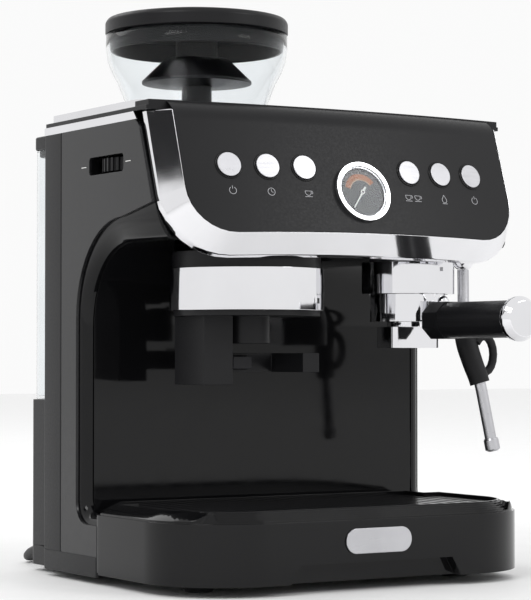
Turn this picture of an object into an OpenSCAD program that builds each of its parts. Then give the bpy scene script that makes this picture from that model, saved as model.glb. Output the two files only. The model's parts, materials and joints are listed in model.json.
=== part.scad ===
// Espresso machine with a built-in grinder: a C-shaped body over a drip tray, a leaning control
// panel with six keys and a pressure gauge, a group with a portafilter, a steam wand and a rear tank.
// Axes: +X to the right seen from the front, front towards -Y, +Z up.
// Origin: on the ground, under the middle of the machine's overall box with its handle.
// Depths named *_t are measured back from the front of the drip tray, and fy() turns them into Y.

/* [Body] */
// Width over the two side panels
body_w = 310; // [306:1:316]
// Depth from the front of the drip tray to the back of the plinth
body_d = 246; // [240:1:252]
// Height of the top deck above the ground
deck_z = 348; // [346:1:352]
// Depth at which the vertical front of the column stands
column_t = 139; // [136:1:141]
// Height of the underside of the head above the ground
head_under_z = 249; // [247:1:251]
// Radius of the concave sweep from the column to the underside of the head
sweep_r = 60; // [55:1:62]
// Wall of the moulded plastic shells
wall = 3; // [2.5:0.1:3.4]

/* [Drip tray] */
// Radius of the two front corners of the tray
tray_corner_r = 65; // [50:1:75]
// Height of the tray's outer wall above the ground
tray_wall_z = 51; // [45:1:53]
// Height of the tray's raised inner rim above the ground
tray_rim_z = 59; // [54:1:62]
// Width of the slots in the drip grid
grid_slot = 5; // [4:0.5:6]

/* [Control panel] */
// Angle at which the panel leans back
lean = 18; // [16:1:19]
// Radius of the panel's curve seen from above
panel_r = 1000; // [900:10:1100]
// Width over the chrome frame of the panel
frame_w = 304; // [300:1:305]
// Width of the chrome frame's band
frame_band = 11.5; // [9:0.5:14]
// Diameter of the six keys
key_d = 18; // [17:0.5:18.5]
// Diameter of the pressure gauge over its bezel
gauge_d = 45.5; // [44:0.5:46]

/* [Grinder] */
// Offset of the grinder, its hopper and its outlet to the left of the middle
grinder_x = -55; // [-57:1:-53]
// Diameter of the bean hopper
hopper_d = 140; // [136:1:142]
// Height of the top of the hopper's lid
hopper_top_z = 427; // [425:1:429]
// Diameter of the chrome band round the grinder's outlet
outlet_d = 114; // [110:1:116]

/* [Brewing group] */
// Offset of the group to the right of the middle
group_x = 86; // [84:1:86]
// Diameter of the group's collar
collar_d = 71; // [70:0.5:71.5]
// Diameter of the portafilter's body
filter_d = 58; // [57:0.5:58.5]
// Distance from the group's axis to the end of the portafilter's handle
handle_reach = 145; // [135:1:150]

/* [Steam wand] */
// Diameter of the steam tube
wand_d = 9; // [8:0.5:9.5]

/* [Cord] */
// Diameter of the mains cord
cord_d = 7; // [6.5:0.5:7]

/* [Hidden] */
$fn = 64;

half_w = body_w / 2;
half_inner = half_w - 11.5;             // inner face of the side frames
tray_front_t = -26;                      // front face of the drip tray
tray_foot_z = 7.5;                       // underside of the tray's walls
seam_t = 111;                           // joint between the tray and the body
rear_t = 200;                           // back of the head and of the column
panel_rear_t = 170;                     // rear edge of the side panels
pan_z = 5;                              // underside of the base
skirt_z = 20;                           // lower edge of the side panels
shelf_z = 133;                          // shelf that carries the tank
plinth_w = body_w - 20;
group_t = 60;
outlet_t = 65;
hopper_t = 140;
gap = 0.4;                              // clearance between separate bodies
panel_mid_t = -5;                       // gauge centre: depth and height
panel_mid_z = 285;
side_front_t = 27;                      // front edge of the side panels at tip_z
tip_z = 275;
strip_z = 335;                          // lower edge of the strip along the head's sides

handle_overhang = handle_reach - group_t; // how far the handle stands out in front of the tray

function fy(t) = t - (body_d - handle_overhang) / 2;
function mix(a, b, k) = a + (b - a) * k;
function arc(c, r, a0, a1, n = 12) =
    [for (i = [0:n]) let (a = mix(a0, a1, i / n)) c + r * [cos(a), sin(a)]];
function reversed(list) = [for (i = [len(list) - 1:-1:0]) list[i]];

// ---- building helpers ----

module block(low, high) {
    translate(low) cube(high - low);
}

module rod(x, y, z0, z1, r) {
    translate([x, y, z0]) cylinder(r = r, h = z1 - z0);
}

module tube(x, y, z0, z1, r, bore) {
    difference() {
        rod(x, y, z0, z1, r);
        rod(x, y, z0 - 1, z1 + 1, bore);
    }
}

// A flat shape drawn in (Y, Z), carried along X
module along_x(x0, x1) {
    translate([x0, 0, 0]) rotate([90, 0, 90]) linear_extrude(x1 - x0) children();
}

// A flat shape drawn in (X, Z), carried along Y
module along_y(y0, y1) {
    translate([0, y1, 0]) rotate([90, 0, 0]) linear_extrude(y1 - y0) children();
}

// Rectangle from x0 to x1 and y0 to y1 with round corners
module soft_rect(x0, x1, y0, y1, r) {
    translate([x0 + r, y0]) square([x1 - x0 - 2 * r, y1 - y0]);
    translate([x0, y0 + r]) square([x1 - x0, y1 - y0 - 2 * r]);
    for (x = [x0 + r, x1 - r], y = [y0 + r, y1 - r]) translate([x, y]) circle(r);
}

module soft_block(x0, x1, y0, y1, z0, z1, r) {
    translate([0, 0, z0]) linear_extrude(z1 - z0) soft_rect(x0, x1, y0, y1, r);
}

// Round tube swept through a list of points; up is any direction it never follows
function unit(v) = v / norm(v);
function heading(p, i) = unit(p[min(i + 1, len(p) - 1)] - p[max(i - 1, 0)]);
function ring(c, dir, up, r, sides) =
    let (u = unit(cross(dir, up)), v = cross(dir, u))
    [for (k = [0:sides - 1]) c + r * (cos(360 * k / sides) * u + sin(360 * k / sides) * v)];
function spline(p, steps) = concat([for (i = [0:len(p) - 2], s = [0:steps - 1])
    let (a = p[max(i - 1, 0)], b = p[i], c = p[i + 1], d = p[min(i + 2, len(p) - 1)], k = s / steps)
    0.5 * (2 * b + (c - a) * k + (2 * a - 5 * b + 4 * c - d) * k * k
        + (3 * b - a - 3 * c + d) * k * k * k)], [p[len(p) - 1]]);

module swept(path, radii, up, sides) {
    n = len(path);
    rings = [for (i = [0:n - 1]) each ring(path[i], heading(path, i), up, radii[i], sides)];
    polyhedron(rings, concat(
        [[for (k = [0:sides - 1]) k]],
        [for (i = [0:n - 2], k = [0:sides - 1]) let (q = (k + 1) % sides)
            [i * sides + k, (i + 1) * sides + k, (i + 1) * sides + q, i * sides + q]],
        [[for (k = [sides - 1:-1:0]) (n - 1) * sides + k]]), convexity = 6);
}

// Closed shell through a row of matching outlines
module lofted(sections) {
    m = len(sections[0]);
    n = len(sections);
    polyhedron([for (s = sections) each s], concat(
        [[for (k = [0:m - 1]) k]],
        [for (i = [0:n - 2], k = [0:m - 1]) let (q = (k + 1) % m)
            [i * m + k, (i + 1) * m + k, (i + 1) * m + q, i * m + q]],
        [[for (k = [m - 1:-1:0]) (n - 1) * m + k]]), convexity = 8);
}

// ---- outline of the C-shaped body, drawn in (depth, height) ----

function lean_t(z) = side_front_t + (z - tip_z) * tan(lean);

// Edge of the cup space: k = 0 at the side panel, k = 1 at the inner edge of the rounded frame
function cup_edge(k) =
    let (back = mix(column_t + 6, column_t, k), top = mix(head_under_z + 18, head_under_z, k),
        tip = mix(tip_z, head_under_z, k), r = mix(sweep_r + 12, sweep_r, k),
        foot = mix(43, 50, k), foot_r = mix(16, 12, k))
    concat(
        [[lean_t(tip), tip]],
        arc([back - r, top - r], r, 90, 0),
        arc([back - foot_r, foot + foot_r], foot_r, 0, -90, 6),
        [[seam_t, foot]]);

module body_side() {
    translate([fy(0), 0]) polygon(concat(cup_edge(0),
        [[seam_t, skirt_z], [panel_rear_t, skirt_z], [panel_rear_t, strip_z]],
        arc([lean_t(strip_z - 10) + 12, strip_z - 10], 10, 90, 180 - lean, 5)));
}

// Quarter-round cross-section of the frame's rim at one point of the cup space's edge
function rim_section(side, outer, inner) =
    let (root = outer - 0.6 * unit(inner - outer), x0 = side * (half_w - 2.5), x1 = x0 - side * 8.5,
        points = concat(
            [for (a = [0:15:90]) [mix(x0, x1, 1 - cos(a)), each mix(outer, inner, sin(a))]],
            [[x1, each root], [x0, each root]]))
    [for (p = side < 0 ? reversed(points) : points) [p[0], fy(p[1]), p[2]]];

// side = -1 left, 1 right
module side_frame(side) {
    x = [half_w - 11, half_w - 2.5];
    color("#17171a") {
        along_x(side < 0 ? -x[1] : x[0], side < 0 ? -x[0] : x[1]) body_side();
        lofted([for (i = [0:len(cup_edge(0)) - 1]) rim_section(side, cup_edge(0)[i], cup_edge(1)[i])]);
    }
}

wheel_t = 97;
wheel_z = 306;
wheel_r = 34;
slot_half = 27;

module side_panel(side) {
    x0 = side < 0 ? -half_w : half_w - 2.5;
    color("#2b2b2e") difference() {
        along_x(x0, x0 + 2.5) body_side();
        if (side < 0)
            along_x(x0 - 1, x0 + 4) soft_rect(fy(wheel_t - slot_half), fy(wheel_t + slot_half),
                wheel_z - 6.5, wheel_z + 6.5, 3);
    }
}

module side_frame_left() {
    difference() {
        side_frame(-1);
        along_x(-half_w, -half_w + 20) soft_rect(fy(wheel_t - slot_half), fy(wheel_t + slot_half),
            wheel_z - 6.5, wheel_z + 6.5, 3);
    }
}

module side_frame_right() { side_frame(1); }
module side_panel_left() { side_panel(-1); }
module side_panel_right() { side_panel(1); }

module side_strips() {
    color("#c9c9cc") for (side = [-1, 1]) {
        x = side * (half_w - 3);
        along_x(min(x, side * half_w), max(x, side * half_w)) translate([fy(0), 0])
            polygon([[lean_t(strip_z) + 4, strip_z], [rear_t, strip_z], [rear_t, strip_z + 6],
                [lean_t(strip_z) + 9, strip_z + 6]]);
    }
}

// ---- base and rear ----

module pan_outline(inset) {
    soft_rect(-half_w + inset, half_w - inset, fy(seam_t) + inset, fy(rear_t) - inset, 2);
    soft_rect(-plinth_w / 2 + inset, plinth_w / 2 - inset, fy(rear_t - 20),
        fy(body_d) - inset, 8 - inset);
}

cord_exit = [-124, fy(body_d), 13];
gland_r = 5;

module base_pan() {
    color("#151517") difference() {
        union() {
            translate([0, 0, pan_z]) linear_extrude(skirt_z - pan_z) pan_outline(0);
            soft_block(-130, 130, fy(16), fy(seam_t + 10), pan_z, pan_z + 3, 20);
        }
        translate([0, 0, pan_z + 3]) linear_extrude(skirt_z) pan_outline(wall);
        translate(cord_exit - [0, 10, 0]) rotate([-90, 0, 0]) cylinder(r = gland_r, h = 20);
        for (p = screw_spots) rod(p[0], p[1], 0, 12, 1.6);
        block([-half_inner, fy(seam_t) - 1, pan_z + 3], [half_inner, fy(seam_t) + wall + 1, skirt_z + 1]);
    }
}

foot_spots = [for (x = [-112, 112], t = [36, 222]) [x, fy(t)]];
screw_spots = [for (x = [-60, 60], t = [150, 222]) [x, fy(t)]];

module feet() {
    color("#222222") for (p = foot_spots) {
        rod(p[0], p[1], 0, 2, 10);
        rod(p[0], p[1], 2, pan_z, 12);
    }
}

module base_screws() {
    color("#8d8d90") for (p = screw_spots) difference() {
        union() {
            rod(p[0], p[1], pan_z - 1.6, pan_z, 3);
            rod(p[0], p[1], pan_z, 14, 1.5);
        }
        translate([p[0], p[1], pan_z - 2]) cylinder(r = 1.2, h = 1.4, $fn = 6);
    }
}

module rear_shell() {
    color("#141416") difference() {
        union() {
            soft_block(-half_w, half_w, fy(panel_rear_t), fy(rear_t), skirt_z, strip_z, 2);
            soft_block(-plinth_w / 2, plinth_w / 2, fy(rear_t - 20), fy(body_d),
                skirt_z, shelf_z, 8);
            block([-half_w + wall + 0.5, fy(panel_rear_t), strip_z - 1],
                [half_w - wall - 0.5, fy(rear_t - 1), strip_z + 5.9]);
        }
        block([-half_w + 2 * wall, fy(panel_rear_t) - 1, skirt_z - 1],
            [half_w - 2 * wall, fy(rear_t - wall), strip_z + 7]);
        block([-plinth_w / 2 + wall, fy(rear_t - 21), skirt_z - 1],
            [plinth_w / 2 - wall, fy(body_d - wall), shelf_z - wall]);
        rod(0, fy(222), shelf_z - 10, shelf_z + 10, 9);
        for (i = [-5:5]) block([i * 14 - 3, fy(body_d - 10), 60], [i * 14 + 3, fy(body_d + 1), 100]);
    }
}

module splash_outline() {
    inner = concat([[8, head_under_z]],
        arc([column_t - sweep_r, head_under_z - sweep_r], sweep_r, 90, 0, 20), [[column_t, 22]]);
    outer = concat([[8, head_under_z + 2.5]],
        arc([column_t - sweep_r, head_under_z - sweep_r], sweep_r + 2.5, 90, 0, 20),
        [[column_t + 2.5, 22]]);
    translate([fy(0), 0]) polygon(concat(inner, reversed(outer)));
}

module splash_panel() {
    color("#0d0d10") difference() {
        along_x(-half_inner + 0.5, half_inner - 0.5) splash_outline();
        rod(grinder_x, fy(outlet_t), 200, 260, 46);
        rod(grinder_x, fy(outlet_t), 150, 243.4, outlet_d / 2 + 0.4);
        rod(group_x, fy(group_t), 230, 260, 31);
        rod(wand_top[0], wand_top[1], 230, 260, 9);
        block([-half_w, fy(-40), 230], [half_w, fy(20), 260]);
    }
}

// ---- top ----

deck_front_t = 24;

module deck_outline(inset, front_t) {
    intersection() {
        soft_rect(-half_w + inset, half_w - inset, fy(0), fy(rear_t) - inset, 2);
        translate([0, fy(front_t) + panel_r]) circle(panel_r, $fn = 256);
    }
}

hopper_hole_r = 53;

module top_cover() {
    color("#18181b") difference() {
        union() {
            translate([0, 0, strip_z + 6]) linear_extrude(3) deck_outline(0.5, deck_front_t);
            translate([0, 0, strip_z + 9]) linear_extrude(deck_z - strip_z - 9) intersection() {
                deck_outline(2, deck_front_t);
                translate([-half_w, fy(0)]) square([body_w, 56]);
            }
        }
        rod(grinder_x, fy(hopper_t), 300, 360, hopper_hole_r - 4);
    }
}

module cup_warmer() {
    color("#d4d4d6") difference() {
        union() {
            soft_block(-half_w + 4, half_w - 4, fy(57), fy(rear_t - 3), strip_z + 9, strip_z + 11, 6);
            difference() {
                soft_block(-half_w + 4, half_w - 4, fy(57), fy(rear_t - 3),
                    strip_z + 11, deck_z + 2, 6);
                soft_block(-half_w + 7, half_w - 7, fy(60), fy(rear_t - 6),
                    strip_z + 10, deck_z + 3, 4);
            }
        }
        rod(grinder_x, fy(hopper_t), 300, 360, hopper_hole_r + 1);
    }
}

// ---- control panel, drawn in its own leaning frame: outward is -Y, up the panel is +Z ----

module on_panel() {
    translate([0, fy(panel_mid_t), panel_mid_z]) rotate([-lean, 0, 0]) children();
}

// Cuts the leaning pieces level with the deck
module below_deck(z) {
    intersection() {
        children();
        block([-body_w, -body_d, 0], [body_w, 2 * body_d, z]);
    }
}

// A place on the curved panel, turned square to it
module at_key(x, z) {
    on_panel() translate([0, panel_r, z]) rotate([0, 0, asin(x / panel_r)])
        translate([0, -panel_r, 0]) children();
}

// Part of the curved wall between depths d0 and d1 behind the panel's face
module curved_wall(d0, d1, z0, z1) {
    translate([0, panel_r, z0]) difference() {
        cylinder(r = panel_r - d0, h = z1 - z0, $fn = 256);
        translate([0, 0, -1]) cylinder(r = panel_r - d1, h = z1 - z0 + 2, $fn = 256);
    }
}

module u_shape(half, bottom, top, r) {
    translate([-half, bottom + r]) square([2 * half, top - bottom - r]);
    translate([-half + r, bottom]) square([2 * (half - r), r + 1]);
    for (x = [-half + r, half - r]) translate([x, bottom + r]) circle(r);
}

panel_top = 76;                         // the panel runs past the deck and is cut level there
frame_bottom = -43;
inner_half = frame_w / 2 - frame_band;
key_x = [-105, -75, -45.5, 45.5, 75, 105];
function key_z(x) = 17.3 + 1.8 * pow(x / 105, 2);

module panel_outline() {
    u_shape(inner_half - 0.5, frame_bottom + frame_band + 0.5, panel_top, 34);
}

module fascia() {
    color("#1d1d20") difference() {
        below_deck(deck_z) on_panel() intersection() {
            curved_wall(0, 2.5, frame_bottom, panel_top);
            along_y(-20, 120) panel_outline();
        }
        for (x = key_x) at_key(x, key_z(x)) rotate([90, 0, 0])
            cylinder(r = key_d / 2 + gap, h = 20, center = true);
        on_panel() rotate([90, 0, 0]) cylinder(r = gauge_d / 2 - 3, h = 20, center = true);
    }
}

frame_round = 46;                       // outer corner radius of the bevelled frame
frame_fall = 16;                        // how far its outer edge lies behind the panel's face
frame_side = 5.2;                        // depth of the narrow facet round its outside

// Half-outline points of the U, left top to right top; inset is measured from the outer edge
function u_points(inset) =
    let (half = frame_w / 2 - inset, low = frame_bottom + inset, r = frame_round - inset,
        x = half - r, z = low + r, top = panel_top)
    concat([[-half, top], [-half, (top + z) / 2]], arc([-x, z], r, 180, 270, 8),
        [for (i = [-3:3]) [i * x / 4, low]], arc([x, z], r, 270, 360, 8),
        [[half, (top + z) / 2], [half, top]]);

function on_curve(p, d) = [p[0], d + p[0] * p[0] / (2 * panel_r), p[1]];

module chrome_frame() {
    outer = u_points(0);
    inner = u_points(frame_band);
    color("#dcdce0") below_deck(strip_z + 5.5) on_panel() lofted([for (i = [0:len(outer) - 1]) [
        on_curve(inner[i], -0.6), on_curve(outer[i], frame_fall),
        on_curve(outer[i], frame_fall + frame_side), on_curve(inner[i], frame_fall + frame_side)]]);
}

module fascia_carrier() {
    color("#202024") difference() {
        below_deck(strip_z + 6) on_panel() intersection() {
            curved_wall(9.2, 13, frame_bottom, panel_top);
            along_y(-20, 120) panel_outline();
        }
        for (x = key_x) at_key(x, key_z(x)) rotate([90, 0, 0])
            cylinder(r = 4.2, h = 50, center = true);
        on_panel() rotate([90, 0, 0]) cylinder(r = 20.5, h = 60, center = true);
    }
}

module control_board() {
    color("#1f5c3a") on_panel() difference() {
        along_y(32, 33.6) translate([-110, 26]) square([220, 22]);
        for (x = [-104, 104]) translate([x, 40, 44]) rotate([90, 0, 0]) cylinder(r = 1.6, h = 12);
    }
}

module key(i) {
    x = key_x[i];
    color("#cfcfd2") at_key(x, key_z(x)) rotate([90, 0, 0]) {
        translate([0, 0, -3]) cylinder(r = key_d / 2, h = 4.6);
        translate([0, 0, -16]) cylinder(r = 3.5, h = 14);
    }
}

module button_1() { key(0); }
module button_2() { key(1); }
module button_3() { key(2); }
module button_4() { key(3); }
module button_5() { key(4); }
module button_6() { key(5); }

gauge_r = gauge_d / 2;
needle_angle = 218;                     // clockwise from straight up: the rest position

module gauge_turned(r0, r1, d0, d1) {
    on_panel() rotate([90, 0, 0]) rotate_extrude() translate([r0, -d1]) square([r1 - r0, d1 - d0]);
}

module gauge_bezel() {
    color("#dddde0") {
        gauge_turned(gauge_r - 3.4, gauge_r, -3.5, 0);
        gauge_turned(gauge_r - 4.5, gauge_r - 3.4, -1.9, 20);
        gauge_turned(0, gauge_r - 4.5, 18, 20);
    }
}

module gauge_dial() {
    color("#3a3a3d") {
        gauge_turned(0, gauge_r - 4.5, -0.2, 0.9);
        gauge_turned(0, 0.8, -1.8, -0.2);
    }
}

module gauge_needle() {
    color("#f2f2f2") on_panel() difference() {
        union() {
            rotate([90, 0, 0]) translate([0, 0, 0.9]) cylinder(r = 2, h = 0.8);
            rotate([0, needle_angle, 0]) along_y(-1.7, -0.9)
                polygon([[-0.9, -5], [0.9, -5], [0.5, gauge_r - 7], [-0.5, gauge_r - 7]]);
        }
        rotate([90, 0, 0]) cylinder(r = 0.85, h = 3);
    }
}

module gauge_glass() {
    color("#dfe8ee", 0.35) gauge_turned(0, gauge_r - 3.4, -2.9, -2.1);
}

// ---- drip tray ----

module tray_outline(inset) {
    difference() {
        soft_rect(-half_w + inset, half_w - inset, fy(tray_front_t) + inset, fy(seam_t + 60),
            tray_corner_r - inset);
        translate([-body_w, fy(seam_t) - inset]) square([2 * body_w, 200]);
    }
    translate([-half_inner + 3 + inset, fy(seam_t - 40)])
        square([2 * (half_inner - 3 - inset), column_t - 1.5 - seam_t + 40 - inset]);
}

module drip_tray() {
    color("#161619") difference() {
        union() {
            translate([0, 0, tray_foot_z]) linear_extrude(tray_wall_z - tray_foot_z) tray_outline(0);
            for (i = [0:5]) translate([0, 0, tray_wall_z])
                linear_extrude((i + 1) * (tray_rim_z - tray_wall_z) / 6)
                    tray_outline(2 + i * 2);
        }
        translate([0, 0, pan_z + 6.6]) linear_extrude(60) tray_outline(16);
        translate([0, 0, tray_rim_z - 5.4]) linear_extrude(20) tray_outline(13.4);
        translate([0, 0, -1]) linear_extrude(pan_z + 5) base_clearance();
        finger_recess();
    }
}

// Space under the tray's floor for the front of the base
module base_clearance() {
    soft_rect(-133, 133, fy(tray_front_t + 13), fy(seam_t + 40), 45);
    translate([-half_w, fy(seam_t - 2)]) square([body_w, 60]);
}

module finger_recess() {
    along_y(fy(tray_front_t - 1), fy(tray_front_t + 9)) polygon([[-75, 4], [75, 4], [65, 21], [-65, 21]]);
}

module badge() {
    color("#d8d8da") along_y(fy(tray_front_t - 1.6), fy(tray_front_t)) soft_rect(-28, 28, 27, 45, 8.8);
}

module drip_grid() {
    z0 = tray_rim_z - 5.2;
    color("#1a1a1d") difference() {
        translate([0, 0, z0]) linear_extrude(2.4) tray_outline(13.9);
        for (i = [-11:11]) block([i * 11.2 - grid_slot / 2, fy(14), z0 - 1],
            [i * 11.2 + grid_slot / 2, fy(seam_t + 14), z0 + 4]);
    }
}

// ---- hopper and grinder ----

lid_rim_z = hopper_top_z - 15;
hopper_r = hopper_d / 2;

module turned(x, t) {
    translate([x, fy(t), 0]) rotate_extrude($fn = 96) children();
}

module hopper_bowl() {
    r = hopper_r - 0.5;
    color("#dfe6ea", 0.35) turned(grinder_x, hopper_t) polygon([
        [24.5, 330], [24.5, deck_z + 7], [47, deck_z + 9], [48, deck_z + 11],
        [r - 3, 393], [r - 2.5, lid_rim_z],
        [r, lid_rim_z], [r, 391], [52, deck_z + 10], [52, strip_z + 9.3], [48, strip_z + 9.3],
        [48, deck_z + 4], [27, deck_z + 4], [27, 330]]);
}

module hopper_guard() {
    color("#151518") {
        turned(grinder_x, hopper_t) polygon([
            [0, 340], [11.5, 340], [11.5, 373], [42, 375], [42, 377],
            [25, lid_rim_z - 18.5], [0, lid_rim_z - 18.5]]);
        translate([grinder_x, fy(hopper_t), 345]) for (a = [0:120:240]) rotate([0, 0, a])
            translate([0, -1.5, 0]) cube([24.3, 3, 8]);
    }
}

module hopper_lid() {
    color("#1a1a1d") {
        turned(grinder_x, hopper_t) polygon([
            [0, lid_rim_z - 18], [16, lid_rim_z - 18], [16, lid_rim_z + 1], [63, lid_rim_z + 1],
            [64, lid_rim_z - 13], [66, lid_rim_z - 13], [66.5, lid_rim_z + 0.4], [hopper_r, lid_rim_z + 0.4],
            [hopper_r, hopper_top_z - 6], [hopper_r - 2, hopper_top_z - 3], [hopper_r - 14, hopper_top_z - 1],
            [0, hopper_top_z]]);
    }
}

burr_z = 300;

module grinder_housing() {
    color("#26262a") {
        difference() {
            rod(grinder_x, fy(hopper_t), 262, 328, 42);
            rod(grinder_x, fy(hopper_t), 266, 330, 38.5);
            rod(grinder_x, fy(hopper_t), 250, 270, 7);
            block([grinder_x - 10, fy(hopper_t - 50), 270], [grinder_x + 10, fy(hopper_t - 20), 286]);
        }
        difference() {
            block([grinder_x - 13, fy(outlet_t - 14), 262], [grinder_x + 13, fy(hopper_t - 40), 290]);
            block([grinder_x - 10, fy(outlet_t - 11), 260], [grinder_x + 10, fy(hopper_t - 30), 286]);
        }
    }
}

module upper_burr() {
    color("#b9b9bd") difference() {
        union() {
            tube(grinder_x, fy(hopper_t), burr_z + 8, 326, 38, 27.5);
            tube(grinder_x, fy(hopper_t), burr_z, burr_z + 8, 30, 20);
        }
        for (a = [0:30:330]) translate([grinder_x, fy(hopper_t), burr_z - 1]) rotate([0, 0, a])
            translate([19, -1, 0]) cube([8, 2, 3]);
    }
}

module lower_burr() {
    color("#a9a9ad") {
        turned(grinder_x, hopper_t) polygon([
            [0, 246], [4, 246], [4, 288], [26, 288], [26, burr_z - 1], [18, burr_z - 1], [8, burr_z + 12],
            [0, burr_z + 12]]);
        for (a = [0:45:315]) translate([grinder_x, fy(hopper_t), 289]) rotate([0, 0, a])
            translate([25, -1.5, 0]) cube([8, 3, 6]);
    }
}

module grinder_motor() {
    color("#5c5c60") {
        difference() {
            block([grinder_x - 34, fy(114), 252.5], [grinder_x + 34, fy(194), 261]);
            rod(grinder_x, fy(hopper_t), 252, 262, 7);
        }
        difference() {
            block([grinder_x - 24, fy(hopper_t - 4), 243], [grinder_x + 24, fy(194), 252.5]);
            rod(grinder_x, fy(hopper_t), 240, 262, 7);
        }
        rod(grinder_x, fy(170), 150, 243, 24);
        rod(grinder_x, fy(170), 143, 150, 8);
    }
}

// Ribbed wheel whose rim shows in the slot of the left side
module grind_wheel() {
    color("#303034") translate([-half_w + 1.2 + wheel_r, fy(wheel_t), wheel_z - 5]) linear_extrude(10)
        difference() {
            union() {
                circle(wheel_r - 1.5);
                for (a = [0:10:350]) rotate(a) translate([wheel_r - 3, -1.2]) square([3, 2.4]);
            }
            circle(3);
        }
}

module outlet_housing() {
    color("#131316") difference() {
        union() {
            rod(grinder_x, fy(outlet_t), 201, 243, outlet_d / 2 - 2.3);
            rod(grinder_x, fy(outlet_t), 243, 262, 34);
        }
        rod(grinder_x, fy(outlet_t), 195, 240, outlet_d / 2 - 5.3);
        rod(grinder_x, fy(outlet_t), 195, 270, 12);
    }
}

module outlet_band() {
    color("#e4e4e8") tube(grinder_x, fy(outlet_t), 200, 231, outlet_d / 2, outlet_d / 2 - 2);
}

fork_z = 155;

module portafilter_cradle() {
    color("#101013") difference() {
        union() {
            rod(grinder_x, fy(outlet_t), 196, 201, outlet_d / 2 - 3);
            block([grinder_x - 44, fy(outlet_t - 14), 146], [grinder_x - 20, fy(outlet_t + 30), 198]);
            block([grinder_x - 20, fy(outlet_t + 14), fork_z],
                [grinder_x + 44, fy(outlet_t + 30), fork_z + 14]);
            block([grinder_x + 30, fy(outlet_t - 30), fork_z],
                [grinder_x + 44, fy(outlet_t + 20), fork_z + 14]);
            tube(grinder_x, fy(outlet_t), 176, 198, 17, 12);
        }
        rod(grinder_x, fy(outlet_t), 190, 210, 12);
        block([grinder_x - 8.4, fy(outlet_t + 10), fork_z + 2],
            [grinder_x + 8.4, fy(outlet_t + 28), fork_z + 12]);
    }
}

module grind_switch() {
    color("#4a4a4e") block([grinder_x - 8, fy(outlet_t + 6), fork_z + 2.4],
        [grinder_x + 8, fy(outlet_t + 20), fork_z + 11.6]);
}

// ---- brewing group ----

collar_r = collar_d / 2;
filter_r = filter_d / 2;
lug_r = filter_r + 4.4;

module group_collar() {
    color("#dfdfe3") difference() {
        rod(group_x, fy(group_t), 214, 238, collar_r);
        rod(group_x, fy(group_t), 213, 217.6, filter_r + 1.2);
        rod(group_x, fy(group_t), 217.5, 240, lug_r + 0.5);
        for (a = [-135, 45]) translate([group_x, fy(group_t), 213]) rotate([0, 0, a])
            translate([0, -9, 0]) cube([lug_r + 0.5, 18, 5]);
    }
}

module group_head() {
    color("#9a9a9e") {
        tube(group_x, fy(group_t), 223.2, 238, lug_r + 0.2, 26);
        rod(group_x, fy(group_t), 230, 264, 29.5);
    }
}

module shower_screen() {
    color("#c0c0c4") difference() {
        rod(group_x, fy(group_t), 226, 230, 25.6);
        for (r = [7:6:19], a = [0:45:315]) translate([group_x, fy(group_t), 225]) rotate([0, 0, a])
            translate([r, 0, 0]) cylinder(r = 0.9, h = 6, $fn = 16);
    }
}

boiler_t = 86;

module boiler() {
    color("#b9b9bd") {
        rod(group_x, fy(boiler_t), 264.4, 318, 34);
        rod(group_x, fy(boiler_t), 318, 326, 12);
        block([wand_top[0] - 22, fy(40), 264.4], [wand_top[0] + 10, fy(boiler_t), 282]);
        rod(wand_top[0], wand_top[1], 246, 264.4, 4);
    }
}

module portafilter_body() {
    color("#d9d9dd") {
        difference() {
            rod(group_x, fy(group_t), 193, 222, filter_r);
            rod(group_x, fy(group_t), 196, 223, filter_r - 2.4);
        }
        intersection() {
            tube(group_x, fy(group_t), 218.2, 222, lug_r, filter_r - 1);
            translate([group_x, fy(group_t), 220]) rotate([0, 0, -90]) cube([80, 15, 8], center = true);
        }
        block([group_x - 8, fy(group_t - filter_r - 9), 194],
            [group_x + 8, fy(group_t - filter_r + 1.5), 208]);
    }
}

module filter_basket() {
    color("#c4c4c8") difference() {
        rod(group_x, fy(group_t), 197, 222.8, filter_r - 2.6);
        rod(group_x, fy(group_t), 198, 224, filter_r - 3.6);
        for (r = [5:5:20], a = [0:45:315]) translate([group_x, fy(group_t), 196]) rotate([0, 0, a])
            translate([r, 0, 0]) cylinder(r = 0.8, h = 3, $fn = 16);
    }
}

module spout_block() {
    color("#e0e0e4") difference() {
        union() {
            soft_block(group_x - 22, group_x + 22, fy(group_t - 13), fy(group_t + 13), 173, 189, 5);
            rod(group_x, fy(group_t), 189, 193, 16);
        }
        for (x = [-13, 13]) rod(group_x + x, fy(group_t), 172, 184, 5);
        rod(group_x, fy(group_t), 180, 194, 6);
        block([group_x - 13, fy(group_t - 4), 180], [group_x + 13, fy(group_t + 4), 184]);
    }
}

grip_start = filter_r + 9;
grip_z = 193.5;
stud = [46, 14];                         // forward of the group and above the handle's axis
stud_r = 4.5;

module portafilter_handle() {
    color("#121214") translate([group_x, fy(group_t), grip_z]) rotate([90, 0, 0]) difference() {
        union() {
            rotate([0, 0, 22.5]) translate([0, 0, grip_start]) cylinder(r = 15, h = 18, $fn = 8);
            translate([0, 0, grip_start]) cylinder(r = 13.5, h = handle_reach - 11 - grip_start);
        }
        translate([0, stud[1], stud[0]]) sphere(stud_r + 0.05);
    }
}

module handle_ferrule() {
    color("#e2e2e6") {
        translate([group_x, fy(group_t), grip_z]) rotate([90, 0, 0]) rotate_extrude() polygon([
            [0, handle_reach - 11], [14.8, handle_reach - 11], [16.3, handle_reach - 8],
            [16.3, handle_reach - 5], [13, handle_reach], [0, handle_reach]]);
        translate([group_x, fy(group_t - stud[0]), grip_z + stud[1]]) sphere(stud_r);
    }
}

// ---- steam wand ----

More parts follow.
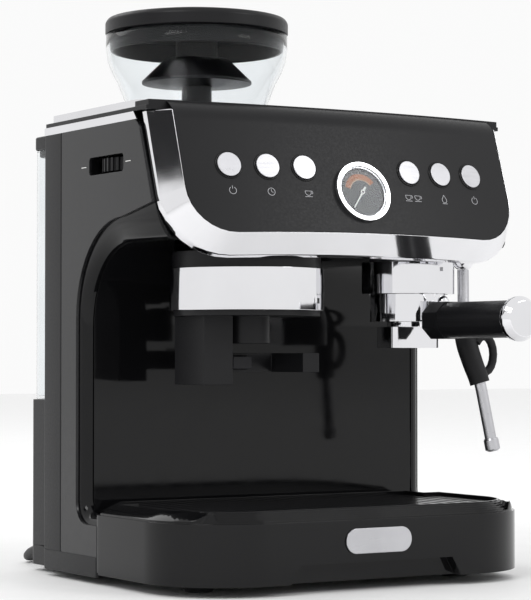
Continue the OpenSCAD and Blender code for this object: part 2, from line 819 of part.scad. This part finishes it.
wand_top = [128, fy(46), 240];
ball_flat = 6.4;
wand_path = [wand_top - [0, 0, ball_flat + 0.4],
    [127.5, fy(45), 218], [126, fy(42.5), 198], [125.5, fy(38.5), 178],
    [128, fy(34), 162], [132, fy(30), 146], [136, fy(27), 120], [138.5, fy(25.2), 104]];
wand_tip = [140, fy(24), 94];

module wand_ball() {
    color("#d6d6da") difference() {
        union() {
            translate(wand_top) sphere(8);
            rod(wand_top[0], wand_top[1], 240, 252, 6);
        }
        rod(wand_top[0], wand_top[1], 243, 253, 4.05);
        rod(wand_top[0], wand_top[1], 230, wand_top[2] - ball_flat, 9);
    }
}

module wand_tube() {
    color("#d6d6da") {
        path = spline(wand_path, 4);
        swept(path, [for (p = path) wand_d / 2], [0, 1, 0], 16);
        swept([for (k = [0, 0.15, 0.85, 1]) mix(wand_path[7], wand_tip, k)],
            [wand_d / 2 + 0.6, wand_d / 2 + 1.3, wand_d / 2 + 1.3, wand_d / 2 - 1], [0, 1, 0], 16);
    }
}

grip_loop = [138, fy(33), 168];

module wand_grip() {
    path = spline(wand_path, 4);
    sleeve = [for (i = [8:20]) path[i]];
    loop = [for (a = [140:-20:-140]) grip_loop + [9 * cos(a), 0, 14 * sin(a)]];
    color("#1b1b1d") difference() {
        union() {
            swept(sleeve, [for (i = [0:12]) 8.6 - 0.08 * i], [0, 1, 0], 20);
            swept(loop, [for (p = loop) 3.2], [0, 1, 0], 12);
        }
        swept(path, [for (p = path) wand_d / 2 + 0.05], [0, 1, 0], 16);
    }
}

// ---- water ----

module pump() {
    color("#6b6b70") {
        rod(70, fy(170), 90, 160, 22);
        rod(70, fy(170), 160, 190, 10);
        rod(70, fy(170), 70, 90, 8);
        block([50, fy(150), 64], [90, fy(190), 70]);
    }
}

tank_half = plinth_w / 2 - 2;

module water_tank() {
    color("#dbe6ec", 0.35) difference() {
        union() {
            soft_block(-tank_half, tank_half, fy(rear_t + 1.5), fy(body_d - 1), shelf_z + 0.5, 327, 9);
            rod(0, fy(222), shelf_z - 6, shelf_z + 1, 8.4);
        }
        soft_block(-tank_half + 2.4, tank_half - 2.4, fy(rear_t + 3.9), fy(body_d - 3.4),
            shelf_z + 3, 330, 7);
        rod(0, fy(222), shelf_z - 8, shelf_z + 5, 5);
    }
}

module tank_lid() {
    color("#141417") {
        soft_block(-tank_half - 1, tank_half + 1, fy(rear_t + 1), fy(body_d - 0.5), 327.4, 338, 9);
        soft_block(-tank_half + 3, tank_half - 3, fy(rear_t + 4.5), fy(body_d - 4), 322, 327.4, 6);
    }
}

// ---- mains cord ----

relief_l = 29;
coil_mid = [-30, 276];
coil_r = 38.5;
coil_rows = 2;
coil_columns = 3;
tail_y = coil_mid[1] - coil_r;
plug_x = 22;
plug_r = 18;
cord_route = [cord_exit + [0, relief_l, 0], [-124.5, 205, 10.5], [-124, 214, 6.5], [-120, 222, 4],
    [-112, 228, 4], [-102, 230, 4], [-90, 230, 4], [-70, 230, 4], [-53, 230, 4]];
tail_route = [[-4, tail_y, 12], [4, tail_y, 13], [12, tail_y, 16], [plug_x, tail_y, plug_r + 0.2]];

module strain_relief() {
    color("#161618") translate(cord_exit - [0, 4, 0]) rotate([-90, 0, 0]) rotate_extrude() polygon([
        [0, 0], [gland_r - 0.1, 0], [gland_r - 0.1, 4], [8, 4], [8, 6.5], [6.4, 7.5],
        [4.4, 4 + relief_l], [0, 4 + relief_l]]);
}

module power_cord() {
    color("#141416") for (route = [cord_route, tail_route]) {
        path = spline(route, 4);
        swept(path, [for (p = path) cord_d / 2], [0, 0, 1], 10);
    }
}

module cord_coil() {
    color("#141416") translate([coil_mid[0], coil_mid[1], 0.5]) rotate_extrude()
        translate([coil_r - coil_columns * cord_d / 2, 0])
            square([coil_columns * cord_d, coil_rows * cord_d]);
}

module plug() {
    color("#161618") translate([plug_x, tail_y, plug_r + 0.2]) rotate([0, 90, 0]) {
        rotate_extrude() polygon([[0, 0], [5, 0], [6.5, 16], [13, 20], [plug_r - 2, 22], [plug_r, 25],
            [plug_r, 50], [plug_r - 1, 52], [0, 52]]);
        for (y = [-9.5, 9.5]) translate([0, y, 52]) cylinder(r = 2.4, h = 19);
    }
}

base_pan();
feet();
base_screws();
side_frame_left();
side_frame_right();
side_panel_left();
side_panel_right();
side_strips();
rear_shell();
splash_panel();
top_cover();
cup_warmer();
fascia_carrier();
fascia();
chrome_frame();
control_board();
button_1();
button_2();
button_3();
button_4();
button_5();
button_6();
gauge_bezel();
gauge_dial();
gauge_needle();
gauge_glass();
drip_tray();
badge();
drip_grid();
hopper_bowl();
hopper_guard();
hopper_lid();
grinder_housing();
upper_burr();
lower_burr();
grinder_motor();
grind_wheel();
outlet_housing();
outlet_band();
portafilter_cradle();
grind_switch();
group_head();
group_collar();
shower_screen();
boiler();
portafilter_body();
filter_basket();
spout_block();
portafilter_handle();
handle_ferrule();
wand_ball();
wand_tube();
wand_grip();
pump();
water_tank();
tank_lid();
strain_relief();
power_cord();
cord_coil();
plug();
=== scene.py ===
import json
import math

import bmesh
import bpy
from mathutils import Euler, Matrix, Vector


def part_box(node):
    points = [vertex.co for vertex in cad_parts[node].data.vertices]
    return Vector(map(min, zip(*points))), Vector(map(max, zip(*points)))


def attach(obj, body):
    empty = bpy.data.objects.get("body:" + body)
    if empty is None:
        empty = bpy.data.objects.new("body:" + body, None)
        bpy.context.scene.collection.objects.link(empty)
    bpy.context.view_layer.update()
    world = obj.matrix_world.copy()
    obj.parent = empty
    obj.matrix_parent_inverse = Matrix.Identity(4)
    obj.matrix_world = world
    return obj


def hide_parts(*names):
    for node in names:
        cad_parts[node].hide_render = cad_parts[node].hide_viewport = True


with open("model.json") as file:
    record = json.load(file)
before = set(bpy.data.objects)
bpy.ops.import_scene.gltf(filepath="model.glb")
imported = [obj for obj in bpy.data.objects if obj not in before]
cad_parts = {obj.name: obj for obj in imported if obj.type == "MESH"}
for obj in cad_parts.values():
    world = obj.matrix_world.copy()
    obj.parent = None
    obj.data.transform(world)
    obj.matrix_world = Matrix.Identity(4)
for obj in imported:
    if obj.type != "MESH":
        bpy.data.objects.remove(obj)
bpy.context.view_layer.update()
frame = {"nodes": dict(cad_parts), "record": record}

MM = 0.001
RECORD = frame["record"]
BODY_OF = {n: body for body, nodes in RECORD["behaviour"]["bodies"].items() for n in nodes}
SLOT_OF = {part["node"]: part["material_slot"] for part in RECORD["subparts"]}

# ---- the machine's main lines, in millimetres, x to the right and t back from the head's front ----

BODY_D = 246.0
FRONT_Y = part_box("rear_shell")[1].y / MM - BODY_D
HALF_W = 155.0
HEAD_LEAN = math.radians(18.0)
PANEL_R = 1000.0                             # the key panel's curve
PANEL_T, PANEL_Z = -5.0, 285.0               # middle of the gauge
DECK_Z = 348.0
KEY_X = (-105.0, -75.0, -45.5, 45.5, 75.0, 105.0)
GAUGE_R = 22.75
TRAY_FRONT, TRAY_SEAM, TRAY_REAR = -26.0, 111.0, 137.5
TRAY_CORNER, TONGUE_HALF = 65.0, 140.5
RIM_FOOT_Z, RIM_TOP_Z, RIM_RUN = 51.0, 59.0, 12.0


def at(x, t, z):
    """A point in metres from its place in the machine, in millimetres."""
    return Vector((x, FRONT_Y + t, z)) * MM


def on_panel(x, z, depth=0.0):
    """A point of the curved, leaning key panel: z is up the panel from the gauge's middle."""
    d = depth + x * x / (2 * PANEL_R)
    return at(x, PANEL_T + d * math.cos(HEAD_LEAN) + z * math.sin(HEAD_LEAN),
              PANEL_Z - d * math.sin(HEAD_LEAN) + z * math.cos(HEAD_LEAN))


# ---- materials ----

def principled(name):
    """A new material with its nodes, links and shader."""
    made = bpy.data.materials.new(name)
    made.use_nodes = True
    nodes, links = made.node_tree.nodes, made.node_tree.links
    return made, nodes, links, nodes["Principled BSDF"]


def noise(nodes, links, scale, detail=4.0, stretch=(1, 1, 1)):
    """Noise over the object's own coordinates, stretched along chosen axes."""
    place = nodes.new("ShaderNodeTexCoord")
    mapping = nodes.new("ShaderNodeMapping")
    mapping.inputs["Scale"].default_value = stretch
    made = nodes.new("ShaderNodeTexNoise")
    made.inputs["Scale"].default_value = scale
    made.inputs["Detail"].default_value = detail
    links.new(place.outputs["Object"], mapping.inputs["Vector"])
    links.new(mapping.outputs["Vector"], made.inputs["Vector"])
    return made.outputs["Fac"]


def ranged(nodes, links, fac, low, high):
    """The noise spread over a range, for a roughness that drifts."""
    made = nodes.new("ShaderNodeMapRange")
    made.inputs["From Min"].default_value = 0.3
    made.inputs["From Max"].default_value = 0.7
    made.inputs["To Min"].default_value = low
    made.inputs["To Max"].default_value = high
    links.new(fac, made.inputs["Value"])
    return made.outputs["Result"]


def varied(nodes, links, fac, dark, light):
    """A colour that drifts between two near shades with the noise."""
    made = nodes.new("ShaderNodeValToRGB")
    made.color_ramp.elements[0].position = 0.3
    made.color_ramp.elements[0].color = (*dark, 1)
    made.color_ramp.elements[1].position = 0.7
    made.color_ramp.elements[1].color = (*light, 1)
    links.new(fac, made.inputs["Fac"])
    return made.outputs["Color"]


def finish_of(name, colour, spread=0.06, rough=(0.3, 0.4), metal=0.0, grain=600.0, bump=0.0,
              stretch=(1, 1, 1), specular=0.5):
    """A surface whose colour and roughness drift slightly, with a fine grain."""
    made, nodes, links, shader = principled(name)
    broad = noise(nodes, links, 24.0, 3.0)
    fine = noise(nodes, links, grain, 4.0, stretch)
    dark = tuple(c * (1 - spread) for c in colour)
    light = tuple(min(1.0, c * (1 + spread)) for c in colour)
    links.new(varied(nodes, links, broad, dark, light), shader.inputs["Base Color"])
    links.new(ranged(nodes, links, fine, *rough), shader.inputs["Roughness"])
    shader.inputs["Metallic"].default_value = metal
    shader.inputs["Specular IOR Level"].default_value = specular
    if bump:
        relief = nodes.new("ShaderNodeBump")
        relief.inputs["Strength"].default_value = bump
        relief.inputs["Distance"].default_value = 0.0002
        links.new(fine, relief.inputs["Height"])
        links.new(relief.outputs["Normal"], shader.inputs["Normal"])
    return made


def clear_of(name, tint):
    """A see-through plastic that bends light only a little, as thin walls do."""
    made = finish_of(name, tint, 0.02, (0.02, 0.06), grain=80.0)
    shader = made.node_tree.nodes["Principled BSDF"]
    shader.inputs["Transmission Weight"].default_value = 1.0
    shader.inputs["IOR"].default_value = 1.18
    return made


def black_gloss():
    return finish_of("black_gloss", (0.004, 0.004, 0.0045), rough=(0.06, 0.10), grain=90.0,
                     specular=0.24)


def graphite_gloss():
    return finish_of("graphite_gloss", (0.009, 0.009, 0.010), rough=(0.18, 0.26),
                     grain=120.0, specular=0.34)


def black_satin():
    return finish_of("black_satin", (0.007, 0.007, 0.008), rough=(0.32, 0.44), bump=0.08, specular=0.22)


def chrome():
    return finish_of("chrome", (0.80, 0.80, 0.82), 0.02, (0.05, 0.09), metal=1.0, grain=60.0)


def brushed_steel():
    return finish_of("brushed_steel", (0.50, 0.50, 0.52), 0.08, (0.26, 0.40), metal=1.0,
                     grain=500.0, bump=0.15, stretch=(0.05, 1, 1))


def polished_steel():
    return finish_of("polished_steel", (0.74, 0.74, 0.76), 0.03, (0.14, 0.22), metal=1.0,
                     grain=300.0, stretch=(0.05, 1, 1))


MATERIALS = {
    "black_gloss": black_gloss(),
    "graphite_gloss": graphite_gloss(),
    "black_satin": black_satin(),
    "chrome": chrome(),
    "brushed_steel": brushed_steel(),
    "polished_steel": polished_steel(),
    "clear_plastic": clear_of("clear_plastic", (0.93, 0.95, 0.96)),
    "rubber": finish_of("rubber", (0.008, 0.008, 0.009), 0.1, (0.5, 0.65), bump=0.2, grain=900.0,
                        specular=0.25),
    "cord_rubber": finish_of("cord_rubber", (0.016, 0.016, 0.017), 0.1, (0.42, 0.55), bump=0.1),
    "aluminium": finish_of("aluminium", (0.55, 0.55, 0.57), 0.05, (0.3, 0.42), metal=1.0),
    "inner_plastic": finish_of("inner_plastic", (0.012, 0.012, 0.014), 0.1, (0.45, 0.6), bump=0.1,
                               specular=0.25),
    "circuit_board": finish_of("circuit_board", (0.015, 0.10, 0.04), 0.2, (0.3, 0.45)),
    "dial": finish_of("dial", (0.060, 0.060, 0.065), 0.08, (0.3, 0.4)),
    "needle": finish_of("needle", (0.86, 0.86, 0.84), 0.03, (0.3, 0.4)),
    "grid_steel": finish_of("grid_steel", (0.006, 0.006, 0.007), 0.08, (0.16, 0.26), specular=0.35),
}
MARKING = finish_of("marking", (0.42, 0.42, 0.44), 0.05, (0.35, 0.45))
WHITE_MARK = finish_of("white_mark", (0.80, 0.80, 0.78), 0.03, (0.4, 0.5))
COPPER = finish_of("copper_scale", (0.30, 0.12, 0.06), 0.12, (0.3, 0.42), metal=0.3)
BEIGE = finish_of("beige_scale", (0.52, 0.40, 0.30), 0.06, (0.35, 0.45))

# ---- making pieces ----


def add(name, mesh, node, material=None, replaces=()):
    """A new piece that rides with the body its node belongs to and takes that node's slot."""
    made = bpy.data.objects.new(name, mesh)
    bpy.context.scene.collection.objects.link(made)
    made.data.materials.clear()
    made.data.materials.append(material or MATERIALS[SLOT_OF[node]])
    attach(made, BODY_OF[node])
    if replaces:
        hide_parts(*replaces)
    return made


def rounded_edges(made, width, segments=3, angle=32.0):
    """Rounds every edge sharper than the angle, by a width in millimetres."""
    made.data.shade_smooth()
    made.data.set_sharp_from_angle(angle=math.radians(angle))
    bevel = made.modifiers.new("edges", "BEVEL")
    bevel.width = width * MM
    bevel.segments = segments
    bevel.limit_method = "ANGLE"
    bevel.angle_limit = math.radians(angle)
    bevel.harden_normals = True
    return made


def softened(node, width, reshape=None):
    """The CAD shape with its edges rounded, standing in for the node."""
    mesh = frame["nodes"][node].data.copy()
    work = bmesh.new()
    work.from_mesh(mesh)
    if reshape:
        for vert in work.verts:
            vert.co = reshape(vert.co)
    bmesh.ops.remove_doubles(work, verts=work.verts, dist=0.00001)
    bmesh.ops.dissolve_limit(work, angle_limit=math.radians(0.6), verts=work.verts, edges=work.edges)
    work.to_mesh(mesh)
    work.free()
    return rounded_edges(add("fine_" + node, mesh, node, replaces=[node]), width)


def from_grid(name, rows, node, closed_rows=False, material=None, replaces=()):
    """A surface through rows of points, each row the same length."""
    work = bmesh.new()
    verts = [[work.verts.new(p) for p in row] for row in rows]
    count = len(rows[0])
    for a, b in zip(verts, verts[1:]):
        for k in range(count if closed_rows else count - 1):
            q = (k + 1) % count
            work.faces.new((a[k], a[q], b[q], b[k]))
    mesh = bpy.data.meshes.new(name)
    bmesh.ops.recalc_face_normals(work, faces=work.faces)
    work.to_mesh(mesh)
    work.free()
    made = add(name, mesh, node, material, replaces)
    made.data.shade_smooth()
    return made


def wire(name, points, radius, node, material, closed=False):
    """A thin raised line through the points, in metres."""
    curve = bpy.data.curves.new(name, "CURVE")
    curve.dimensions = "3D"
    curve.bevel_depth = radius * MM
    curve.bevel_resolution = 2
    line = curve.splines.new("POLY")
    line.points.add(len(points) - 1)
    for place, p in zip(line.points, points):
        place.co = (*p, 1)
    line.use_cyclic_u = closed
    return add(name, curve, node, material)


def tray_inset(x, t):
    """How far inside the tray's outline a point lies, in millimetres."""
    side = HALF_W - abs(x)
    corner_x, corner_t = HALF_W - TRAY_CORNER, TRAY_FRONT + TRAY_CORNER
    if abs(x) > corner_x and t < corner_t:
        side = TRAY_CORNER - math.hypot(abs(x) - corner_x, t - corner_t)
    main = min(side, t - TRAY_FRONT, TRAY_SEAM - t)
    return max(main, min(TONGUE_HALF - abs(x), TRAY_REAR - t))


def slope_rim(co):
    """Turns the tray's stepped rim into one even slope."""
    x, t, z = co.x / MM, co.y / MM - FRONT_Y, co.z / MM
    inset = tray_inset(x, t)
    if z > RIM_FOOT_Z + 0.1 and inset < RIM_RUN + 0.5:
        z = RIM_FOOT_Z + (RIM_TOP_Z - RIM_FOOT_Z) * max(0.0, min(1.0, inset / RIM_RUN))
    return at(x, t, z)


# ---- the key panel ----

PANEL_HALF, PANEL_FOOT, PANEL_CORNER = 140.0, -31.0, 34.0
ROLL_R, ROLL_STEPS = 20.0, 8                 # how the panel's top rolls back to the deck
DECK_RUN = 4.0                               # the flat behind the roll
CELL, FACE_ROWS = 1.4, 60


def panel_foot(x):
    """The panel's lower edge, which rises round its corners."""
    over = abs(x) - (PANEL_HALF - PANEL_CORNER)
    if over <= 0:
        return PANEL_FOOT
    return PANEL_FOOT + PANEL_CORNER - math.sqrt(max(0.0, PANEL_CORNER ** 2 - over ** 2))


def panel_column(x):
    """One upright line of the panel: the face, the roll at its top and the flat behind."""
    bow = x * x / (2 * PANEL_R)
    start_z = DECK_Z - ROLL_R * (1 - math.sin(HEAD_LEAN))
    top = (start_z - PANEL_Z + bow * math.sin(HEAD_LEAN)) / math.cos(HEAD_LEAN)
    foot = panel_foot(x)
    face = [on_panel(x, foot + (top - foot) * k / FACE_ROWS) for k in range(FACE_ROWS + 1)]
    start_t = face[-1].y / MM - FRONT_Y
    roll = []
    for k in range(1, ROLL_STEPS + 1):
        turn = HEAD_LEAN + (math.pi / 2 - HEAD_LEAN) * k / ROLL_STEPS
        roll.append(at(x, start_t + ROLL_R * (math.cos(HEAD_LEAN) - math.cos(turn)),
                       DECK_Z - ROLL_R * (1 - math.sin(turn))))
    back = roll[-1] + Vector((0, DECK_RUN * MM, 0))
    return face + roll + [back]


def make_panel():
    """The panel's skin with the gauge's hole in it."""
    columns = int(2 * PANEL_HALF / CELL)
    rows = [panel_column(-PANEL_HALF + 2 * PANEL_HALF * k / columns) for k in range(columns + 1)]
    made = from_grid("key_panel", rows, "fascia", replaces=["fascia"])
    work = bmesh.new()
    work.from_mesh(made.data)
    middle = on_panel(0, 0)
    hole = [f for f in work.faces if (f.calc_center_median() - middle).length < (GAUGE_R - 2) * MM]
    bmesh.ops.delete(work, geom=hole, context="FACES")
    work.to_mesh(made.data)
    work.free()


KEY_SEAT_R, KEY_SEAT_WIRE = 9.9, 0.7
SIGN_DROP, SIGN_WIRE = 19.4, 0.22            # how far the signs lie below the keys, and their line
KEY_ROW_Z, KEY_ROW_RISE = 17.3, 1.8          # the row of keys rises a little towards its ends


def key_z(x):
    return KEY_ROW_Z + KEY_ROW_RISE * (x / KEY_X[-1]) ** 2


def make_key_rings():
    """The dark seat round each key."""
    for number, x in enumerate(KEY_X, 1):
        points = [on_panel(x + KEY_SEAT_R * math.cos(a), key_z(x) + KEY_SEAT_R * math.sin(a), -0.05)
                  for a in (math.tau * k / 40 for k in range(40))]
        wire("key_seat_%d" % number, points, KEY_SEAT_WIRE, "fascia", MATERIALS["black_gloss"],
             closed=True)


def arc(cx, cy, r, start, end, count=14):
    """Points of an arc between two angles in degrees, for a sign."""
    steps = [math.radians(start + (end - start) * k / count) for k in range(count + 1)]
    return [(cx + r * math.cos(a), cy + r * math.sin(a)) for a in steps]


def cup(cx):
    bowl = [(cx - 2.4, 1.6)] + arc(cx, 0.6, 2.4, 180, 360) + [(cx + 2.4, 1.6), (cx - 2.4, 1.6)]
    return [bowl, arc(cx + 2.6, 0.4, 1.1, 90, -90, 8), [(cx - 3, -2.8), (cx + 3, -2.8)]]


def on_off():
    return [arc(0, 0, 2.7, 60, -240), [(0, 1.2), (0, 3.6)]]


def clock():
    return [arc(0, 0, 2.8, 0, 360), [(0, 1.8), (0, 0), (1.3, -0.6)]]


def steam():
    return [[(0, 3.2)] + arc(0, -0.8, 2.1, 40, -220) + [(0, 3.2)], [(-2.4, -3.6), (2.4, -3.6)]]


def make_icons():
    """Plain line signs under the keys."""
    signs = [on_off(), clock(), cup(0), cup(-4.2) + cup(4.2), steam(), on_off()]
    for number, (x, lines) in enumerate(zip(KEY_X, signs), 1):
        for part, line in enumerate(lines, 1):
            points = [on_panel(x + u, key_z(x) - SIGN_DROP + v, -0.08) for u, v in line]
            wire("sign_%d_%d" % (number, part), points, SIGN_WIRE, "fascia", MARKING)


# ---- the gauge ----

def on_dial(r, clockwise, lift):
    """A point over the dial, by its distance out and its angle from the top."""
    a = math.radians(clockwise)
    x, z = r * math.sin(a), r * math.cos(a)
    return on_panel(x, z, -lift - x * x / (2 * PANEL_R))


def dial_band(name, r0, r1, start, end, material):
    """A coloured band over the dial, between two radii and two angles."""
    rows = [[on_dial(r0, a, 0.35), on_dial(r1, a, 0.35)]
            for a in [start + (end - start) * k / 40 for k in range(41)]]
    from_grid(name, rows, "gauge_dial", material=material)


def make_dial_marks():
    """The dial's coloured band with its pale inner edge, and its short scale lines."""
    band_start, band_end, scale_end, marks = -75, 55, 130, 13
    dial_band("scale_copper", 10.2, 14.2, band_start, band_end, COPPER)
    dial_band("scale_edge", 9.4, 10.2, band_start, band_end, BEIGE)
    for k in range(marks):
        a = -scale_end + k * 2 * scale_end / (marks - 1)
        wire("scale_mark_%d" % k, [on_dial(15.0, a, 0.3), on_dial(16.6, a, 0.3)], 0.16,
             "gauge_dial", WHITE_MARK)


# ---- the bean hopper ----

HOPPER_X, HOPPER_T, BOWL_WALL = -55.0, 140.0, 2.4
BOWL_SIDE = ((48, 349.5), (52, 355), (56, 363.5), (60.2, 374.5), (64.8, 383), (68, 391), (69.5, 400),
             (69.5, 411.5))
BOWL_FLOOR = ((46, 351.5), (27, 352.5))


def turned(profile, steps=96):
    """Rows of points round the hopper's axis, one row for each point of the profile."""
    return [[at(HOPPER_X + r * math.cos(a), HOPPER_T + r * math.sin(a), z)
             for a in (math.tau * k / steps for k in range(steps))] for r, z in profile]


def make_bowl():
    """A round clear bowl: up the outside, over the rim, down the inside and along the floor."""
    inside = [(r - BOWL_WALL, z + 0.8) for r, z in reversed(BOWL_SIDE[1:-1])]
    profile = [(27, 350), *BOWL_SIDE, (69.5 - BOWL_WALL, 411.5), *inside, *BOWL_FLOOR, (27, 350)]
    from_grid("hopper_bowl_clear", turned(profile), "hopper_bowl", closed_rows=True,
              replaces=["hopper_bowl"])


# ---- the grinder's outlet and the brewing group ----

OUTLET_T, OUTLET_R = 65.0, 57.0
GROUP_X, GROUP_T, COLLAR_R = 86.0, 60.0, 35.5


def round_patch(name, axis, radius, heights, angles, node, material):
    """A thin patch on an upright round wall, between two heights and two angles from the front."""
    (x, t), (low, high), (start, end) = axis, heights, angles
    rows = []
    for k in range(13):
        a = math.radians(start + (end - start) * k / 12)
        rows.append([at(x + radius * math.sin(a), t - radius * math.cos(a), z) for z in (low, high)])
    from_grid(name, rows, node, material=material)


def make_outlet_marks():
    """The small hole in the outlet's band and the dot on the group's collar."""
    outlet = (HOPPER_X, OUTLET_T)
    round_patch("outlet_hole", outlet, OUTLET_R + 0.12, (205, 209), (33, 37), "outlet_band",
                MATERIALS["black_gloss"])
    round_patch("collar_dot", (GROUP_X, GROUP_T), COLLAR_R + 0.12, (231, 234), (8, 13),
                "group_collar", MARKING)


# ---- small marks ----

def make_side_marks():
    """A short white line at each end of the grind wheel's slot."""
    for name, t in (("finer_mark", 62.0), ("coarser_mark", 132.0)):
        wire(name, [at(-HALF_W - 0.1, t - 4, 306), at(-HALF_W - 0.1, t + 4, 306)], 0.3,
             "side_panel_left", WHITE_MARK)


# ---- camera and cord ----

def set_camera():
    """The photograph's view: low, from the front left."""
    data = bpy.data.cameras.new("camera")
    data.lens, data.sensor_width = 133.3, 36.0
    made = bpy.data.objects.new("camera", data)
    made.location = (-0.8927, -1.4198, 0.169)
    made.rotation_euler = Euler((math.radians(91.37), 0, math.radians(-31.3)))
    bpy.context.scene.collection.objects.link(made)
    bpy.context.scene.camera = made


CORD_D = 7.0
COIL_MID_X, COIL_MID_Y, COIL_R = -30.0, 276.0, 38.5


def cord_points():
    """The cord's route in millimetres: from the strain relief, round the coil, to the plug."""
    route = [(-124, 194.5, 13), (-124.5, 205, 10.5), (-124, 214, 6.5), (-120, 222, 4.2),
             (-112, 228, 4), (-102, 230, 4), (-90, 230, 4), (-76, 230, 4), (-62, 230.3, 4)]
    outer, middle, inner = COIL_R + 7.2, COIL_R, COIL_R - 7.2
    low, high = 4.0, 11.4
    turns = [(outer, low), (middle, low), (inner, low), (middle, high), (COIL_R, high)]
    steps = 16
    for turn, (radius, height) in enumerate(turns[:-1]):
        next_r, next_z = turns[turn + 1]
        last = turn == len(turns) - 2
        for step in range(steps + (1 if last else 0)):
            k = step / steps
            ease = k * k * (3 - 2 * k)
            r = radius + (next_r - radius) * ease
            angle = math.radians(-90 + 360 * k)
            route.append((COIL_MID_X + r * math.cos(angle), COIL_MID_Y + r * math.sin(angle),
                          height + (next_z - height) * ease))
    tail_y = COIL_MID_Y - COIL_R
    route += [(-17, tail_y, 11.6), (-4, tail_y, 12), (6, tail_y, 13.4), (14, tail_y, 16.4),
              (22, tail_y, 18.2)]
    return route


def cord_from(points):
    """One open curve through the cord's points."""
    curve = bpy.data.curves.new("mains_cord", "CURVE")
    curve.dimensions = "3D"
    curve.bevel_depth = CORD_D / 2 * MM
    curve.bevel_resolution = 4
    curve.resolution_u = 6
    line = curve.splines.new("NURBS")
    line.points.add(len(points) - 1)
    for place, p in zip(line.points, points):
        place.co = (*(Vector(p) * MM), 1)
    line.order_u = 4
    line.use_endpoint_u = True
    return add("mains_cord", curve, "power_cord", replaces=["power_cord", "cord_coil"])


def make_cord():
    """The cord, with its plug and strain relief rounded."""
    points = cord_points()
    cord = cord_from(points)
    softened("plug", 1.5)
    softened("strain_relief", 0.5)


# ---- studio ----

def make_sky():
    """An even white surround."""
    world = bpy.data.worlds.new("studio")
    bpy.context.scene.world = world
    world.use_nodes = True
    backing = world.node_tree.nodes["Background"]
    backing.inputs["Color"].default_value = (1.0, 1.0, 1.0, 1)
    backing.inputs["Strength"].default_value = 0.96


def make_studio():
    """Surround, pale floor, dark card and soft lights."""
    make_sky()
    bpy.context.scene.view_settings.view_transform = "Standard"
    bpy.ops.mesh.primitive_plane_add(size=14.0, location=(0, 0, 0))
    floor = bpy.context.object
    floor.name = "floor"
    floor.data.materials.append(finish_of("floor", (0.90, 0.90, 0.90), 0.01, (0.6, 0.7)))
    dark_card()
    soft_light("key_light", (-2.4, -1.2, 2.6), 30.0, 1.3)
    soft_light("fill_light", (1.8, -2.6, 1.9), 18.0, 1.0)
    soft_light("back_light", (-0.6, 2.4, 2.6), 14.0, 1.6)


def dark_card():
    """A black card high on the left, out of view, for the chrome's dark reflections."""
    bpy.ops.mesh.primitive_plane_add(size=0.6, location=(-1.6, -0.05, 1.05),
                                     rotation=(0, math.pi / 2, 0))
    card = bpy.context.object
    card.name = "dark_card"
    card.data.materials.append(MATERIALS["rubber"])


def soft_light(name, place, power, size):
    """A square soft light that faces the machine's middle."""
    data = bpy.data.lights.new(name, "AREA")
    data.energy, data.size = power, size
    made = bpy.data.objects.new(name, data)
    made.location = place
    aim = Vector((0, 0, 0.2)) - Vector(place)
    made.rotation_euler = aim.to_track_quat("-Z", "Y").to_euler()
    bpy.context.scene.collection.objects.link(made)


# ---- the build ----

set_camera()
make_cord()
make_studio()

EDGE_WIDTHS = {
    "chrome_frame": 0.8, "hopper_lid": 1.5, "drip_tray": 0.6, "side_panel_left": 0.7,
    "side_panel_right": 0.7, "portafilter_handle": 1.4, "handle_ferrule": 0.5, "badge": 0.5,
    "spout_block": 1.2, "tank_lid": 1.5, "portafilter_cradle": 1.6, "group_collar": 0.8,
    "outlet_band": 0.5, "wand_ball": 0.2, "wand_tube": 0.2, "wand_grip": 0.3,
}
MADE_ELSEWHERE = ("plug", "strain_relief", "power_cord", "cord_coil", "fascia", "drip_tray",
                  "hopper_bowl")
for node in frame["nodes"]:
    if node not in MADE_ELSEWHERE:
        softened(node, EDGE_WIDTHS.get(node, 0.4))
softened("drip_tray", EDGE_WIDTHS["drip_tray"], slope_rim)
make_bowl()
make_panel()
make_key_rings()
make_icons()
make_dial_marks()
make_side_marks()
make_outlet_marks()
